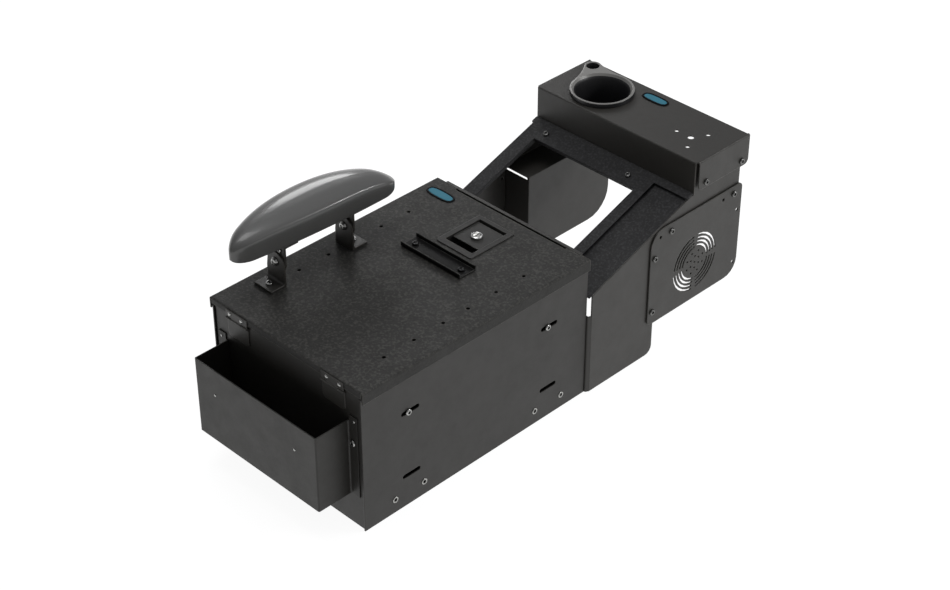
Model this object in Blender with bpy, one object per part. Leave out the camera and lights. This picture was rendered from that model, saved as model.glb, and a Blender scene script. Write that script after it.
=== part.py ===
"""Vehicle equipment console: a lockable storage box with an armrest lid, a rear bin, a sloped
equipment section and a head with a cup holder. Lengths are in millimetres in the box's own frame
(x from the centre line, y forward from the box's rear edge, z up from the floor) until a mesh is made."""

from math import acos, atan2, cos, hypot, pi, radians, sin, sqrt

import bmesh
import bpy
from mathutils import Matrix, Vector

MM = 0.001
GAP = 0.3  # between pieces that touch
SHEET = 2.0  # main steel sheet
THIN = 1.6  # caps, leaves and cover plates
BEND = 2.6  # outer radius of a fold

BOX_WIDTH = 280.0
BOX_LENGTH = 405.0
WALL_TOP = 217.9
LID_TOP = 220.5
LID_HALF = 144.6
LID_LENGTH = 404.5
LID_SKIRT = 17.0
LID_REAR_SKIRT = 9.5
HOLE_ROW_X = 107.9
HOLE_PITCH = 50.8
HOLE_MIDDLE_PITCH = 43.8
HOLE_CENTRE_Y = 192.2
NOTCH_HALF = 103.3
LIP_HALF = 126.5
LIP_FRONT = 408.3

REAR_Y = 2.0  # outer face of the rear panel
BIN_HALF = 115.7
BIN_DEPTH = 53.4
BIN_LOW, BIN_TOP = 49.6, 165.7
BIN_WALL = 1.5
BIN_SCREW_X, BIN_SCREW_Z = 123.5, 133.8
BIN_FACE_HOLES = [(-78.0, 126.0), (75.0, 126.0)]

HINGE_Y, HINGE_Z = -0.9, 205.5
KNUCKLE = 1.8
HINGE_PIN = 0.9
LEAF_NEAR, LEAF_FAR = 70.0, 111.0
LEAF_LOW, LEAF_SHEET = 177.0, 1.0
LEAF_CORNER = 6.0
BARREL_END = 10.0  # length of each fixed barrel at a leaf's ends

SIDE_OUT = 144.8  # outer face of the front section's sides
FRONT_REAR_Y = 410.4
STEP_Y = 538.8
FRONT_Y = 711.0
STEP_Z = 184.0
SLOPE_Y, SLOPE_Z = 413.2, 160.2
SLOPE = radians(19.2)
SLOPE_END = 204.0
OPENING_LEFT, OPENING_RIGHT = -120.0, 70.0
OPENING_LOW, OPENING_HIGH = 8.0, 172.0
FRAME_TOP = 5.0
RAIL_LEFT, RAIL_RIGHT = -143.0, 87.0
RAIL_EAR, RAIL_END = 146.8, 207.6  # half width across the frame's top, and how far up the slope it goes

CAP_HALF = 150.3
CAP_REAR, CAP_FRONT = 608.8, 720.5
CAP_TOP = 280.9
CAP_SKIRT, CAP_LIP = 46.0, 15.0
NIB = 8.0  # radius of the cap's lower corners
CUP_X, CUP_Y, CUP_RIM = -71.5, 661.5, 288.0
CUP_OUTER, CUP_INNER = 46.5, 42.6
CUP_BODY, CUP_BOTTOM = 40.3, 214.0
PEN_X, PEN_Y, PEN_BORE = -125.0, 700.5, 9.5
POLE_X, POLE_Y, POLE_PITCH = 98.3, 655.6, 25.4

PLATE_REAR, PLATE_FRONT = 524.5, 716.5
PLATE_LOW, PLATE_TOP = 52.3, 204.5
PLATE_CENTRE_Y = 620.6
PLATE_SHEET = 2.2
FAN_Z = 114.5
RECESS_X = -96.0
RECESS_LOW, RECESS_TOP = 50.0, 181.0

PULL_Y, PULL_HALF, PULL_TOP, PULL_SCREW_X = 266.0, 55.0, 228.2, 43.0
LATCH_Y, LATCH_HALF_X, LATCH_HALF_Y = 335.1, 33.2, 41.3
PADDLE_AXIS_Y, PADDLE_AXIS_Z = 364.6, 216.6
KEY_Y = 338.0
BOLT_LOW, BOLT_HIGH = 194.2, 200.2

ARM_X, ARM_Z = -107.9, 253.0
ARM_CENTRE_Y = 141.5
UPPER_HALF = 15.5  # half width of an upper bracket, short of the pad's edge
FOOT_FILLET = 3.0
PAD_REAR, PAD_FRONT = 11.5, 284.0
PAD_LEFT, PAD_RIGHT = -158.0, -83.2  # furthest reach of each long edge
PAD_LEFT_Y, PAD_RIGHT_Y = 150.8, 209.0  # where the edges reach it
PAD_LEFT_BOW, PAD_RIGHT_BOW = 35.6, 7.5  # how far each edge draws in, half a length away
PAD_REAR_SINK, PAD_FRONT_SINK = 0.27, 0.58  # share of its height that the pad loses at each end
PAD_END_ROUND = 0.11  # share of half its length that rounds off each end
PAD_LOW, PAD_TOP = 279.3, 320.5
BADGE_HALF_X, BADGE_HALF_Y = 25.0, 10.0
SCREW_HEAD, SCREW_HEIGHT, SCREW_SHANK, SCREW_HOLE = 4.6, 2.6, 2.4, 2.8

# The frame's origin is under the middle of the whole object's box.
X_MIN, X_MAX = PAD_LEFT, CAP_HALF + GAP + SCREW_HEIGHT
ORIGIN = Vector(((X_MIN + X_MAX) / 2, (CAP_FRONT - BIN_DEPTH) / 2, 0))


def clear_scene():
    for thing in list(bpy.data.objects):
        bpy.data.objects.remove(thing)


def finish_of(name, colour, roughness, metallic):
    material = bpy.data.materials.new(name)
    material.use_nodes = True
    shader = material.node_tree.nodes["Principled BSDF"]
    shader.inputs["Base Color"].default_value = (*colour, 1.0)
    shader.inputs["Roughness"].default_value = roughness
    shader.inputs["Metallic"].default_value = metallic
    return material


def axis_empty(name, place, parent=None):
    """An empty at a place in the box's frame; a joint's pieces hang on it."""
    empty = bpy.data.objects.new(name, None)
    bpy.context.scene.collection.objects.link(empty)
    empty.empty_display_size = 0.02
    origin = Vector(parent["place"]) if parent else ORIGIN
    empty.location = (Vector(place) - origin) * MM
    empty["place"] = tuple(place)
    if parent:
        empty.parent = parent
    return empty


def solid(name, bm, material, parent, smooth=None):
    """Turns a bmesh in millimetres into a named object that hangs on an axis empty."""
    bmesh.ops.remove_doubles(bm, verts=bm.verts, dist=1e-4)
    bmesh.ops.recalc_face_normals(bm, faces=bm.faces)
    mesh = bpy.data.meshes.new(name)
    bm.to_mesh(mesh)
    bm.free()
    mesh.transform(Matrix.Translation(-Vector(parent["place"]) * MM) @ Matrix.Scale(MM, 4))
    mesh.materials.append(material)
    if smooth:
        mesh.shade_smooth()
        mesh.set_sharp_from_angle(angle=radians(smooth))
    thing = bpy.data.objects.new(name, mesh)
    bpy.context.scene.collection.objects.link(thing)
    thing.parent = parent
    return thing


def as_helper(thing):
    thing.hide_render = True
    thing.display_type = "WIRE"
    return thing


def boolean(target, other, operation):
    modifier = target.modifiers.new(operation.lower(), "BOOLEAN")
    modifier.operation = operation
    modifier.solver = "EXACT"
    modifier.object = as_helper(other)
    return target


def join(target, *others):
    for other in others:
        boolean(target, other, "UNION")
    return target


def cut(target, *others):
    for other in others:
        boolean(target, other, "DIFFERENCE")
    return target


def prism_mesh(bm, outline, low, high, normal="Z", holes=()):
    """Adds the solid between two heights along one axis, from an outline in the other two."""
    place = {
        "X": lambda u, v, w: (w, u, v),
        "Y": lambda u, v, w: (u, w, v),
        "Z": lambda u, v, w: (u, v, w),
    }
    edges = []
    for loop in (outline, *holes):
        corners = [bm.verts.new(place[normal](u, v, low)) for u, v in loop]
        edges += [bm.edges.new((a, b)) for a, b in zip(corners, corners[1:] + corners[:1])]
    faces = bmesh.ops.triangle_fill(bm, use_beauty=True, edges=edges)["geom"]
    faces = [face for face in faces if isinstance(face, bmesh.types.BMFace)]
    grown = bmesh.ops.extrude_face_region(bm, geom=faces)["geom"]
    moved = [vert for vert in grown if isinstance(vert, bmesh.types.BMVert)]
    bmesh.ops.translate(bm, verts=moved, vec=place[normal](0, 0, high - low))


def prism(name, outline, low, high, normal, material, parent, holes=(), smooth=None):
    bm = bmesh.new()
    prism_mesh(bm, outline, low, high, normal, holes)
    return solid(name, bm, material, parent, smooth)


def block(name, x, y, z, material, parent):
    return prism(name, rectangle(x[0], x[1], y[0], y[1]), z[0], z[1], "Z", material, parent)


def rectangle(u0, u1, v0, v1):
    return [(u0, v0), (u1, v0), (u1, v1), (u0, v1)]


def circle(u, v, radius, sides=12, start=0.0):
    step = 2 * pi / sides
    return [(u + radius * cos(start + step * i), v + radius * sin(start + step * i)) for i in range(sides)]


def rounded(corners, segments=4):
    """An outline whose corners (u, v, radius) are rounded by arcs."""
    outline = []
    count = len(corners)
    for i, (u, v, radius) in enumerate(corners):
        if radius <= 0:
            outline.append((u, v))
            continue
        here = Vector((u, v))
        back = (Vector(corners[i - 1][:2]) - here).normalized()
        ahead = (Vector(corners[(i + 1) % count][:2]) - here).normalized()
        half = acos(max(-1.0, min(1.0, back.dot(ahead)))) / 2
        centre = here + (back + ahead).normalized() * (radius / sin(half))
        start = here + back * (radius * cos(half) / sin(half)) - centre
        end = here + ahead * (radius * cos(half) / sin(half)) - centre
        turn = atan2(start.x * end.y - start.y * end.x, start.dot(end))
        first = atan2(start.y, start.x)
        for step in range(segments + 1):
            angle = first + turn * step / segments
            outline.append((centre.x + radius * cos(angle), centre.y + radius * sin(angle)))
    return outline


def slot_outline(u, v, length, width, segments=4):
    half, radius = length / 2, width / 2
    corners = [(u - half, v - radius), (u + half, v - radius), (u + half, v + radius), (u - half, v + radius)]
    return rounded([(a, b, radius * 0.999) for a, b in corners], segments)


def folded(points, thickness, radius=BEND, segments=3):
    """The outline of a folded sheet, from its outer face's corner points; the sheet lies to their left."""
    last = len(points) - 1
    outer = rounded([(u, v, radius if 0 < i < last else 0) for i, (u, v) in enumerate(points)], segments)
    sheet = [Vector(p) for p in points]
    inner = []
    for i, here in enumerate(sheet):
        sides = []
        if i > 0:
            sides.append((here - sheet[i - 1]).normalized())
        if i < last:
            sides.append((sheet[i + 1] - here).normalized())
        normals = [Vector((-side.y, side.x)) for side in sides]
        offset = normals[0] * thickness
        if len(normals) == 2:
            offset = (normals[0] + normals[1]) * (thickness / (1 + normals[0].dot(normals[1])))
        inner.append((*(here + offset), max(radius - thickness, 0.0) if 0 < i < last else 0))
    return outer + rounded(inner, segments)[::-1]


def cylinder(name, centre, radius, low, high, normal, material, parent, sides=12, smooth=None):
    return prism(name, circle(*centre, radius, sides), low, high, normal, material, parent, smooth=smooth)


def hole_cutter(name, centres, radius, low, high, normal, parent, sides=10):
    """One helper object that holds a round cutter at each centre."""
    bm = bmesh.new()
    for centre in centres:
        prism_mesh(bm, circle(*centre, radius, sides), low, high, normal)
    return solid(name, bm, PAINT, parent)


def turned(name, profile, place, direction, material, parent, sides=14):
    """A solid of revolution from (radius, height) points that run from axis to axis."""
    bm = bmesh.new()
    rings = []
    for radius, height in profile:
        if radius == 0:
            rings.append([bm.verts.new((0, 0, height))])
        else:
            rings.append([bm.verts.new((u, v, height)) for u, v in circle(0, 0, radius, sides)])
    for low, high in zip(rings, rings[1:]):
        for i in range(sides):
            j = i + 1
            corners = [low[i % len(low)], low[j % len(low)], high[j % len(high)], high[i % len(high)]]
            bm.faces.new(list(dict.fromkeys(corners)))
    turn = Vector((0, 0, 1)).rotation_difference(Vector(direction)).to_matrix().to_4x4()
    bmesh.ops.transform(bm, matrix=Matrix.Translation(place) @ turn, verts=bm.verts)
    return solid(name, bm, material, parent, smooth=35)


def screw(name, place, direction, parent, length=5.0):
    """A button-head screw; the place is the surface under its head."""
    head, rim, shank = SCREW_HEAD, 0.9, SCREW_SHANK
    profile = [(0, -length), (shank, -length), (shank, GAP), (head, GAP), (head, GAP + rim),
               (head * 0.72, SCREW_HEIGHT), (0, SCREW_HEIGHT + GAP)]
    return turned(name, profile, place, direction, ZINC, parent, sides=10)


def mirrored_names(stem):
    return ((f"{stem}_left", -1), (f"{stem}_right", 1))


# ---------------------------------------------------------------- storage box


def side_holes():
    """Slots and rivet-nut holes of a box side, as outlines in (y, z)."""
    slots = [slot_outline(y, z, 31.0, 6.4) for y in (81.2, 331.8) for z in (149.0, 48.4)]
    nuts = [circle(y, 20.6, 3.3, 10) for y in (52.3, 103.1, 307.4, 358.2)]
    return slots + nuts


def make_box():
    half = BOX_WIDTH / 2
    block("box_floor", (-half + SHEET + GAP, half - SHEET - GAP), (REAR_Y + GAP, BOX_LENGTH - SHEET - GAP),
          (0, SHEET), PAINT, DATUM)
    for name, side in mirrored_names("box_side"):
        near, far = sorted((side * (half - SHEET), side * half))
        outline = [(0, 0), (BOX_LENGTH, 0), (BOX_LENGTH, WALL_TOP), (2.2, WALL_TOP), (2.2, 209), (0, 209)]
        prism(name, outline, near, far, "X", PAINT, DATUM, side_holes())
    make_rear_panel(half)
    make_front_panel(half)


def make_rear_panel(half):
    wide, narrow, seam_low = half - SHEET - GAP, half - SHEET - 2.2, 61.0
    outline = [(-wide, SHEET + GAP), (wide, SHEET + GAP), (wide, seam_low), (narrow, seam_low),
               (narrow, WALL_TOP), (-narrow, WALL_TOP), (-narrow, seam_low), (-wide, seam_low)]
    holes = [circle(side * BIN_SCREW_X, BIN_SCREW_Z, SCREW_HOLE, 10) for side in (-1, 1)]
    prism("box_rear_panel", outline, REAR_Y, REAR_Y + SHEET, "Y", PAINT, DATUM, holes)


def make_front_panel(half):
    wide = half - SHEET - GAP
    outline = [(-wide, SHEET + GAP), (wide, SHEET + GAP), (wide, WALL_TOP), (LIP_HALF, WALL_TOP),
               (LIP_HALF, LID_TOP), (-LIP_HALF, LID_TOP), (-LIP_HALF, WALL_TOP), (-wide, WALL_TOP)]
    strike = rounded([(-14, 190, 2), (14, 190, 2), (14, 204, 2), (-14, 204, 2)])
    panel = prism("box_front_panel", outline, BOX_LENGTH - SHEET, BOX_LENGTH, "Y", PAINT, DATUM, [strike])
    lip = block("front_lip_helper", (-LIP_HALF, LIP_HALF), (BOX_LENGTH - 1, LIP_FRONT),
                (LID_TOP - SHEET, LID_TOP), PAINT, DATUM)
    join(panel, lip)


def make_bin():
    """The open-topped bin: floor and walls folded from one sheet, with an ear on each side."""
    rear, out, ear_back = -BIN_DEPTH, BIN_HALF, REAR_Y - GAP
    ear_front, ear_out, ear_top = ear_back - BIN_WALL, 131.5, 175.0
    walls = folded([(-ear_out, ear_front), (-out, ear_front), (-out, rear), (out, rear), (out, ear_front),
                    (ear_out, ear_front)], BIN_WALL, 2.0)
    shell = prism("rear_bin", walls, BIN_LOW, ear_top, "Z", PAINT_FINE, DATUM)
    floor = block("bin_floor_helper", (-out + 1, out - 1), (rear + 1, ear_back - GAP),
                  (BIN_LOW + 0.01, BIN_LOW + BIN_WALL), PAINT_FINE, DATUM)
    mouth = block("bin_mouth_trim", (-out - 2, out + 2), (rear - 1, REAR_Y), (BIN_TOP, ear_top + 1),
                  PAINT, DATUM)
    join(shell, floor)
    fixings = [(side * BIN_SCREW_X, BIN_SCREW_Z) for side in (-1, 1)]
    cut(shell, mouth, hole_cutter("bin_screw_cutter", fixings, SCREW_HOLE, -3, 5, "Y", DATUM),
        hole_cutter("bin_ear_cutter", [(-126, 168), (126, 168)], 2.0, -3, 5, "Y", DATUM, 8),
        hole_cutter("bin_face_cutter", BIN_FACE_HOLES, 1.6, rear - 2, rear + 4, "Y", DATUM, 8))
    for name, side in mirrored_names("bin_screw"):
        screw(name, (side * BIN_SCREW_X, ear_front, BIN_SCREW_Z), (0, -1, 0), DATUM)


# ---------------------------------------------------------------- lid and hinges


def lid_rows():
    offsets = [HOLE_MIDDLE_PITCH / 2 + HOLE_PITCH * i for i in range(3)]
    return [HOLE_CENTRE_Y + sign * offset for sign in (-1, 1) for offset in offsets]


def make_lid():
    skirt = LID_TOP - LID_SKIRT
    corners = [(LID_HALF, skirt), (LID_HALF, LID_TOP), (-LID_HALF, LID_TOP), (-LID_HALF, skirt)]
    profile = folded(corners, SHEET)
    lid = prism("lid_panel", profile, 0, LID_LENGTH, "Y", TEXTURED, LID, smooth=35)
    inner = LID_HALF - 3.5
    rear = folded([(3.5, LID_TOP), (0, LID_TOP), (0, LID_TOP - LID_REAR_SKIRT)], THIN, 2.4)
    flange = prism("lid_flange_helper", rear, -inner, inner, "X", TEXTURED, LID)
    trim = block("lid_rear_trim", (-inner, inner), (-1, 3.4), (LID_TOP - 3, LID_TOP + 1), TEXTURED, LID)
    lip = block("lid_lip_trim", (-LIP_HALF - 0.6, LIP_HALF + 0.6), (BOX_LENGTH - SHEET - GAP - 0.4, 420),
                (215, 225), TEXTURED, LID)
    notch = block("lid_notch_trim", (-NOTCH_HALF, NOTCH_HALF), (399.6, 420), (215, 225), TEXTURED, LID)
    window = block("lid_window_trim", (-28.2, 28.2), (LATCH_Y - 35.6, LATCH_Y + 37.6), (215, 225),
                   TEXTURED, LID)
    centres = [(side * HOLE_ROW_X, y) for side in (-1, 1) for y in lid_rows()]
    holes = hole_cutter("lid_hole_cutter", centres, SCREW_HOLE, 215, 225, "Z", LID)
    pulls = hole_cutter("lid_pull_cutter", pull_screw_points(), SCREW_HOLE, 215, 225, "Z", LID)
    cut(lid, trim)
    join(lid, flange)
    cut(lid, lip, notch, window, holes, pulls)


def knuckle(name, low, high, parent):
    """One barrel of a hinge, bored for the pin, along X."""
    bore = circle(HINGE_Y, HINGE_Z, HINGE_PIN + 0.15, 10)
    outline = circle(HINGE_Y, HINGE_Z, KNUCKLE)
    return prism(name, outline, low, high, "X", PAINT_FINE, parent, [bore], smooth=35)


def make_hinge(stem, side):
    """A flush strap hinge: a leaf on the rear panel, a leaf on the lid's rear skirt and a slim barrel."""
    near, far = sorted((side * LEAF_NEAR, side * LEAF_FAR))
    back = REAR_Y - GAP
    outline = rounded([(near, LEAF_LOW, LEAF_CORNER), (far, LEAF_LOW, LEAF_CORNER), (far, HINGE_Z, 0),
                       (near, HINGE_Z, 0)])
    fixed = prism(f"hinge_leaf_fixed_{stem}", outline, back - LEAF_SHEET, back, "Y", PAINT_FINE, DATUM)
    middle = (near + BARREL_END + 0.2, far - BARREL_END - 0.2)
    slot = block(f"leaf_slot_{stem}", middle, (-3, 5), (HINGE_Z - KNUCKLE - 1, HINGE_Z + 1), PAINT, DATUM)
    cut(fixed, slot)
    join(fixed, knuckle(f"barrel_a_{stem}", near, near + BARREL_END, DATUM),
         knuckle(f"barrel_b_{stem}", far - BARREL_END, far, DATUM))
    near_end, far_end = middle[0] + 0.4, middle[1] - 0.4
    moving = knuckle(f"hinge_leaf_moving_{stem}", near_end, far_end, LID)
    sheet = (-GAP - LEAF_SHEET, -GAP)
    tongue = block(f"tongue_{stem}", (near_end, far_end), sheet, (HINGE_Z + 1.2, 212), PAINT, LID)
    plate = block(f"leaf_plate_{stem}", (near, far), sheet, (HINGE_Z + KNUCKLE + 0.6, LID_TOP - 1.8),
                  PAINT, LID)
    join(moving, tongue, plate)
    cylinder(f"hinge_pin_{stem}", (HINGE_Y, HINGE_Z), HINGE_PIN, near + 0.2, far - 0.2, "X", ZINC, DATUM,
             10, 35)


def pull_screw_points():
    return [(side * PULL_SCREW_X, PULL_Y) for side in (-1, 1)]


def make_pull_channel():
    rear, front, low, high = PULL_Y - 15.0, PULL_Y + 15.0, LID_TOP + GAP, PULL_TOP
    profile = folded([(rear, high), (rear, low), (front, low), (front, high)], THIN, 1.8)
    channel = prism("pull_channel", profile, -PULL_HALF, PULL_HALF, "X", PAINT_FINE, LID)
    cut(channel, hole_cutter("pull_cutter", pull_screw_points(), SCREW_HOLE, low - 2, low + 4, "Z", LID))
    for name, side in mirrored_names("pull_screw"):
        screw(name, (side * PULL_SCREW_X, PULL_Y, low + THIN), (0, 0, 1), LID)


# ---------------------------------------------------------------- latch


def make_latch():
    low, top, inner_x = 203.0, LID_TOP + GAP + 1.2, 25.4
    inner_rear, inner_front = LATCH_Y - 31.1, LATCH_Y + 34.4
    body = block("latch_body", (-27, 27), (inner_rear - THIN, inner_front + THIN), (low, LID_TOP + GAP),
                 PAINT_FINE, LID)
    half_x, rear, front = LATCH_HALF_X, LATCH_Y - LATCH_HALF_Y, LATCH_Y + LATCH_HALF_Y
    outline = rounded([(-half_x, rear, 3), (half_x, rear, 3), (half_x, front, 3), (-half_x, front, 3)])
    bezel = prism("bezel_helper", outline, LID_TOP + GAP - 0.001, top, "Z", PAINT_FINE, LID)
    pocket = block("latch_pocket_trim", (-inner_x, inner_x), (inner_rear, inner_front), (low + 1.5, top + 1),
                   PAINT, LID)
    join(body, bezel)
    cut(body, pocket)
    make_paddle(inner_x - 0.6)
    make_lock()


def make_lock():
    """The key plug in the paddle, and the bolt with its guide under the latch."""
    profile = [(0, 208), (6.8, 208), (6.8, 219.9), (8.4, 219.9), (8.4, 222.2), (7.2, 223.4), (0, 223.4)]
    turned("key_plug", profile, (0, KEY_Y, 0), (0, 0, 1), ZINC, KEY, 16)
    hat = folded([(21, 202.7), (11.2, 202.7), (11.2, 192.4), (-11.2, 192.4), (-11.2, 202.7), (-21, 202.7)],
                 1.4, 1.6, 2)
    prism("bolt_guide", hat, 340, 386, "Y", ZINC, LID)
    nose = [(346, BOLT_LOW), (394, BOLT_LOW), (402.3, BOLT_HIGH - 1), (402.3, BOLT_HIGH), (346, BOLT_HIGH)]
    prism("latch_bolt", nose, -9, 9, "X", ZINC, BOLT)


def make_paddle(half):
    """The paddle: a plate that lifts at its rear edge, on a barrel along X near its front edge."""
    low, high = PADDLE_AXIS_Z + 1.6, 219.6
    outline = rounded([(-half, 318, 2), (half, 318, 2), (half, 366.0, 1), (-half, 366.0, 1)])
    plate = prism("latch_paddle", outline, low, high, "Z", PAINT_FINE, PADDLE, [circle(0, KEY_Y, 7.2, 16)])
    axis = (PADDLE_AXIS_Y, PADDLE_AXIS_Z)
    barrel = prism("paddle_barrel", circle(*axis, 2.4), -half, half, "X", PAINT_FINE, PADDLE,
                   [circle(*axis, 1.15, 10)])
    join(plate, barrel)
    cylinder("paddle_pin", axis, 1.0, -half - GAP, half + GAP, "X", ZINC, LID, 10, 35)


# ---------------------------------------------------------------- armrest


def bracket_head(low, shoulder, half, radius):
    """Outline in (x, z) of a bracket plate that narrows to a round lug on the pivot."""
    turns = [radians(12 + 156 * i / 8) for i in range(9)]
    arc = [(ARM_X + radius * cos(a), ARM_Z + radius * sin(a)) for a in turns]
    left, right = ARM_X - half, ARM_X + half
    return [(left, low), (right, low), (right, shoulder), *arc, (left, shoulder)]


def foot_fillet(name, y, z, turn):
    """The inner bend between a lower bracket's plate and its foot, which runs forward or back."""
    radius = FOOT_FILLET
    turns = [radians(22.5 * i) for i in range(5)]
    arc = [(y + turn * radius * (1 - cos(a)), z + radius * (1 - sin(a))) for a in turns]
    outline = [(y - turn * 0.5, z - 0.5), (y - turn * 0.5, z + radius), *arc, (y + turn * radius, z - 0.5)]
    return prism(name, outline, ARM_X - 17, ARM_X + 17, "X", PAINT_FINE, LID)


def make_armrest_bracket(stem, plate_rear, foot_rear, foot_front, screw_y):
    thick, low = 3.0, LID_TOP + GAP
    hole = [circle(ARM_X, ARM_Z, 3.3, 12)]
    lower = prism(f"armrest_bracket_lower_{stem}", bracket_head(low, 241, 17, 15), plate_rear,
                  plate_rear + thick, "Y", PAINT_FINE, LID, hole)
    foot = prism(f"foot_helper_{stem}", rectangle(ARM_X - 17, ARM_X + 17, foot_rear, foot_front), low,
                 low + thick, "Z", PAINT_FINE, LID, [circle(ARM_X, screw_y, SCREW_HOLE, 10)])
    turn = 1 if foot_front > plate_rear + thick + 1 else -1
    corner = plate_rear + (thick if turn == 1 else 0)
    join(lower, foot, foot_fillet(f"fillet_helper_{stem}", corner, low + thick, turn))
    screw(f"armrest_foot_screw_{stem}", (ARM_X, screw_y, low + thick), (0, 0, 1), LID, 8.0)
    rear = plate_rear + thick + GAP
    top = PAD_LOW - GAP
    lug = [(x, 2 * ARM_Z - z) for x, z in bracket_head(2 * ARM_Z - top, 242, UPPER_HALF, 16)]
    stop = (ARM_X + 7.0, ARM_Z + 18.5)
    upper = prism(f"armrest_bracket_upper_{stem}", lug[::-1], rear, rear + thick, "Y", PAINT_FINE, ARM,
                  hole + [circle(*stop, 2.3, 10)])
    flange = block(f"flange_helper_{stem}", (ARM_X - UPPER_HALF, ARM_X + UPPER_HALF), (rear, rear + 24),
                   (top - thick, top), PAINT_FINE, ARM)
    join(upper, flange)
    back = -(2 * thick + 2 * GAP)
    profile = [(0, back - 3.4), (4.4, back - 3.0), (5.6, back - 1.6), (5.6, back), (3.0, back), (3.0, GAP),
               (6.2, GAP), (6.2, 1.6), (4.6, 3.4), (0, 3.8)]
    turned(f"armrest_pivot_bolt_{stem}", profile, (ARM_X, plate_rear, ARM_Z), (0, -1, 0), ZINC, ARM, 12)
    profile = [(0, -6.0), (2.0, -6.0), (2.0, GAP), (3.2, GAP), (3.2, 1.2), (2.2, 2.0), (0, 2.2)]
    turned(f"armrest_stop_screw_{stem}", profile, (stop[0], rear, stop[1]), (0, -1, 0), ZINC, ARM, 10)


def pad_sides(y):
    """The pad's left and right edges at y: two shallow curves that meet towards its ends."""
    half = (PAD_FRONT - PAD_REAR) / 2
    left = PAD_LEFT + PAD_LEFT_BOW * ((y - PAD_LEFT_Y) / half) ** 2
    right = PAD_RIGHT - PAD_RIGHT_BOW * ((y - PAD_RIGHT_Y) / half) ** 2
    return left, right


def pad_section(y):
    """The pad's cross-section at y, as (x, z) points: flat below, domed above, lower at its ends."""
    left, right = pad_sides(y)
    middle, half = (left + right) / 2, (right - left) / 2
    share = (2 * y - PAD_REAR - PAD_FRONT) / (PAD_FRONT - PAD_REAR)
    past = max(0.0, (abs(share) - (1 - PAD_END_ROUND)) / PAD_END_ROUND)
    close = sqrt(max(0.0, 1 - past * past))
    rise = (PAD_TOP - PAD_LOW) * (1 - (PAD_REAR_SINK if share < 0 else PAD_FRONT_SINK) * abs(share) ** 3.4)
    heights = ((0.80, 0.0), (0.97, 0.06), (1.0, 0.42), (0.97, 0.72), (0.86, 0.82), (0.55, 0.93))
    base, flatten = 0.42, 0.6 + 0.4 * close
    ring = []
    for sign in (1, -1):
        for width, height in heights if sign == 1 else heights[::-1]:
            level = base + (height - base) * flatten
            ring.append((middle + sign * half * width * max(close, 0.02), PAD_LOW + rise * level))
        if sign == 1:
            ring.append((middle, PAD_LOW + rise * (base + (1 - base) * flatten)))
    return ring


def make_pad():
    bm = bmesh.new()
    middle, half = (PAD_REAR + PAD_FRONT) / 2, (PAD_FRONT - PAD_REAR) / 2
    stations = [middle + half * sin(pi / 2 * i / 8) for i in range(-8, 9)]
    rings = []
    for y in sorted(stations + [PAD_LEFT_Y]):
        rings.append([bm.verts.new((x, y, z)) for x, z in pad_section(y)])
    for low, high in zip(rings, rings[1:]):
        for i in range(len(low)):
            j = (i + 1) % len(low)
            bm.faces.new((low[i], low[j], high[j], high[i]))
    bm.faces.new(rings[0])
    bm.faces.new(rings[-1])
    solid("armrest_pad", bm, PAD_SKIN, ARM, smooth=40)


# ---------------------------------------------------------------- front section


def side_outline():
    """Outline in (y, z) of a front side: full height behind, cut away below in front, sloped above."""
    slope_top = SLOPE_Z + SLOPE_END * sin(SLOPE)
    behind_cap = CAP_REAR + THIN + GAP
    return rounded([
        (FRONT_REAR_Y, 0, 0), (STEP_Y, 0, 12), (STEP_Y, STEP_Z, 2), (FRONT_Y, STEP_Z, 3),
        (FRONT_Y, CAP_TOP - THIN - GAP, 0), (behind_cap, CAP_TOP - THIN - GAP, 0), (behind_cap, slope_top, 0),
        (SLOPE_Y + SLOPE_END * cos(SLOPE), slope_top, 0),
        (FRONT_REAR_Y, SLOPE_Z - (SLOPE_Y - FRONT_REAR_Y) * sin(SLOPE) / cos(SLOPE), 0),
    ])


def plate_screw_points():
    """Fixing points shared by the right cover plate and the left recess, in (y, z)."""
    top = [(PLATE_CENTRE_Y + sign * step, 191.9) for sign in (-1, 1) for step in (55.1, 77.7)]
    ends = [(PLATE_CENTRE_Y + sign * 87.7, z) for sign in (-1, 1) for z in (161.4, 72.7)]
    return top + ends


def cap_screw_points():
    return [(629.2, 244.0), (705.3, 244.0)]


def make_front_sides():
    on_side = [p for p in plate_screw_points() if p[1] > STEP_Z or p[0] < STEP_Y] + cap_screw_points()
    for name, side in mirrored_names("front_side"):
        near, far = sorted((side * (SIDE_OUT - SHEET), side * SIDE_OUT))
        holes = [circle(y, z, SCREW_HOLE, 10) for y, z in on_side]
        panel = prism(name, side_outline(), near, far, "X", PAINT_FINE, DATUM, holes)
        path = [(SIDE_OUT, 414.0), (SIDE_OUT, FRONT_REAR_Y + 0.4), (142.2, 405.3), (118.0, 405.3)]
        strip = folded([(side * x, y) for x, y in (path if side < 0 else path[::-1])], SHEET, 2.2)
        join(panel, prism(f"{name}_flange", strip, 0.001, 126.0, "Z", PAINT_FINE, DATUM))


def on_slope(thing):
    """Tips a piece made flat, in (x, distance up the slope, height), onto the slope."""
    lift = Matrix.Translation(Vector((0, SLOPE_Y, SLOPE_Z)) * MM) @ Matrix.Rotation(SLOPE, 4, "X")
    shift = Matrix.Translation(Vector(DATUM["place"]) * MM)
    thing.data.transform(shift.inverted() @ lift @ shift)
    return thing


def slope_plate(name, outline, low, high, material, holes=()):
    return on_slope(prism(name, outline, low, high, "Z", material, DATUM, holes))


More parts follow.
